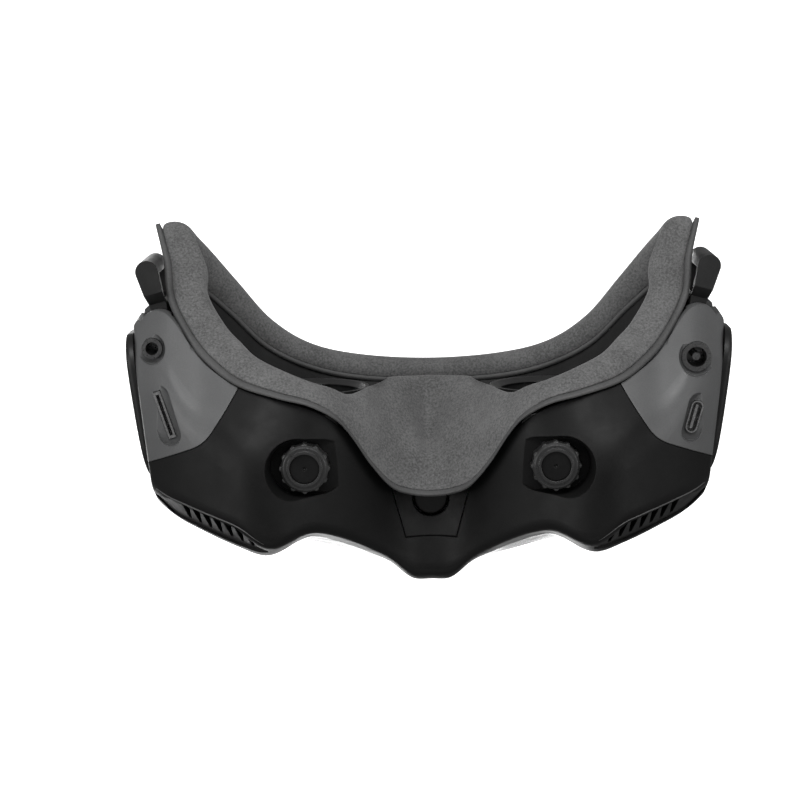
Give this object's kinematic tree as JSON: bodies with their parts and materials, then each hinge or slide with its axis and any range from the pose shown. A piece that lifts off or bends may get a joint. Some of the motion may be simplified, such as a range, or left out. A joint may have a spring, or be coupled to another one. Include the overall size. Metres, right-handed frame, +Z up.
{
  "type": "fpv goggles",
  "caption": "Head-worn video goggles with a foam face ring, sliding eyepieces with focus knobs, folding antennas, strap loops, vents, side panels and side ports.",
  "frame": {"origin": "middle of the footprint, level with the lowest point of the casing", "axes": "+X towards the wearer's left, -Y the way the wearer looks, +Z up when worn"},
  "size_m": [0.1666, 0.099, 0.08],
  "materials": {
    "black_casing": "fine satin texture",
    "grey_casing": "satin",
    "gloss_black": "polished",
    "dark_inlay": "matte",
    "inner_black": "matte",
    "smoked_window": "polished",
    "black_steel": "blackened",
    "frame_plastic": "satin",
    "face_foam": "short nap over foam",
    "bright_steel": "ground",
    "circuit_board": "solder mask",
    "heat_sink_alloy": "extruded",
    "jack_metal": "plated",
    "shell_steel": "stamped",
    "button_black": "satin",
    "panel_black": "satin",
    "vent_black": "matte",
    "barrel_black": "ribbed",
    "lens_glass": "coated",
    "gear_white": "moulded",
    "knob_black": "satin",
    "knob_disc": "polished",
    "display_black": "polished",
    "display_glass": "polished",
    "loop_black": "satin",
    "antenna_black": "satin"
  },
  "bodies": {
    "housing": {"lower_housing": "black_casing", "top_cover": "black_casing", "front_visor": "gloss_black", "link_panel": "dark_inlay", "eyepiece_bulkhead": "inner_black", "face_sensor": "smoked_window", "bulkhead_screws": "black_steel", "foam_frame": "frame_plastic", "foam_pad": "face_foam", "guide_rod_upper": "bright_steel", "guide_rods_lower": "bright_steel", "main_board": "circuit_board", "heat_sink": "heat_sink_alloy", "fan_housing": "inner_black", "audio_jack": "jack_metal", "power_jack": "jack_metal", "card_slot": "shell_steel", "usb_port": "shell_steel", "card_board": "circuit_board", "usb_board": "circuit_board", "button_switch": "inner_black", "side_panel_left": "panel_black", "touch_panel_right": "panel_black", "side_shell_left": "grey_casing", "vent_grille_left": "vent_black", "strap_pin_left": "bright_steel", "antenna_pin_left": "bright_steel", "side_shell_right": "grey_casing", "vent_grille_right": "vent_black", "strap_pin_right": "bright_steel", "antenna_pin_right": "bright_steel"},
    "carriage_left": {"eyepiece_carriage_left": "inner_black", "display_left": "display_black", "display_glass_left": "display_glass"},
    "barrel_left": {"lens_barrel_left": "barrel_black", "lens_left": "lens_glass", "focus_rack_left": "inner_black"},
    "pinion_left": {"focus_pinion_left": "gear_white"},
    "knob_left": {"focus_knob_left": "knob_black", "knob_cap_left": "knob_disc", "knob_shaft_left": "bright_steel"},
    "loop_left": {"strap_loop_left": "loop_black"},
    "antenna_left": {"antenna_left": "antenna_black"},
    "carriage_right": {"eyepiece_carriage_right": "inner_black", "display_right": "display_black", "display_glass_right": "display_glass"},
    "barrel_right": {"lens_barrel_right": "barrel_black", "lens_right": "lens_glass", "focus_rack_right": "inner_black"},
    "pinion_right": {"focus_pinion_right": "gear_white"},
    "knob_right": {"focus_knob_right": "knob_black", "knob_cap_right": "knob_disc", "knob_shaft_right": "bright_steel"},
    "loop_right": {"strap_loop_right": "loop_black"},
    "antenna_right": {"antenna_right": "antenna_black"},
    "fan": {"fan_rotor": "inner_black"},
    "button": {"link_button": "button_black"}
  },
  "joints": [
    {"name": "ipd_slide_left", "type": "slide", "parent": "housing", "child": "carriage_left", "axis": [1, 0, 0], "range_m": [-0.0044, 0.0021]},
    {"name": "focus_turn_left", "type": "hinge", "parent": "carriage_left", "child": "pinion_left", "pos_m": [0.0334, -0.01381, 0.01537], "axis": [0, 0, 1], "range_deg": [-23, 91.7]},
    {"name": "focus_slide_left", "type": "slide", "parent": "carriage_left", "child": "barrel_left", "axis": [0, 1, 0], "range_m": [-0.004, 0.001]},
    {"name": "knob_pop_left", "type": "slide", "parent": "pinion_left", "child": "knob_left", "axis": [0, 0, -1], "range_m": [0, 0.0025]},
    {"name": "strap_swing_left", "type": "hinge", "parent": "housing", "child": "loop_left", "pos_m": [0.0736, 0.02419, 0.04537], "axis": [0, 0, -1], "range_deg": [0, 15]},
    {"name": "antenna_fold_left", "type": "hinge", "parent": "housing", "child": "antenna_left", "pos_m": [0.053, -0.01901, 0.06777], "axis": [0, 1, 0], "range_deg": [0, 90]},
    {"name": "ipd_slide_right", "type": "slide", "parent": "housing", "child": "carriage_right", "axis": [-1, 0, 0], "range_m": [-0.0044, 0.0021]},
    {"name": "focus_turn_right", "type": "hinge", "parent": "carriage_right", "child": "pinion_right", "pos_m": [-0.0334, -0.01381, 0.01537], "axis": [0, 0, -1], "range_deg": [-23, 91.7]},
    {"name": "focus_slide_right", "type": "slide", "parent": "carriage_right", "child": "barrel_right", "axis": [0, 1, 0], "range_m": [-0.004, 0.001]},
    {"name": "knob_pop_right", "type": "slide", "parent": "pinion_right", "child": "knob_right", "axis": [0, 0, -1], "range_m": [0, 0.0025]},
    {"name": "strap_swing_right", "type": "hinge", "parent": "housing", "child": "loop_right", "pos_m": [-0.0736, 0.02419, 0.04537], "axis": [0, 0, 1], "range_deg": [0, 15]},
    {"name": "antenna_fold_right", "type": "hinge", "parent": "housing", "child": "antenna_right", "pos_m": [-0.053, -0.01901, 0.06777], "axis": [0, -1, 0], "range_deg": [0, 90]},
    {"name": "fan_spin", "type": "hinge", "parent": "housing", "child": "fan", "pos_m": [0, -0.03771, 0.04737], "axis": [0, 1, 0], "continuous": true},
    {"name": "link_press", "type": "slide", "parent": "housing", "child": "button", "axis": [0, 0, 1], "range_m": [0, 0.0008], "stiffness_N_per_m": 400, "springref_m": -0.001}
  ],
  "couplings": [
    {"joint": "focus_turn_left", "follows": "focus_slide_left", "rad_per_m": -400},
    {"joint": "focus_turn_right", "follows": "focus_slide_right", "rad_per_m": -400}
  ]
}
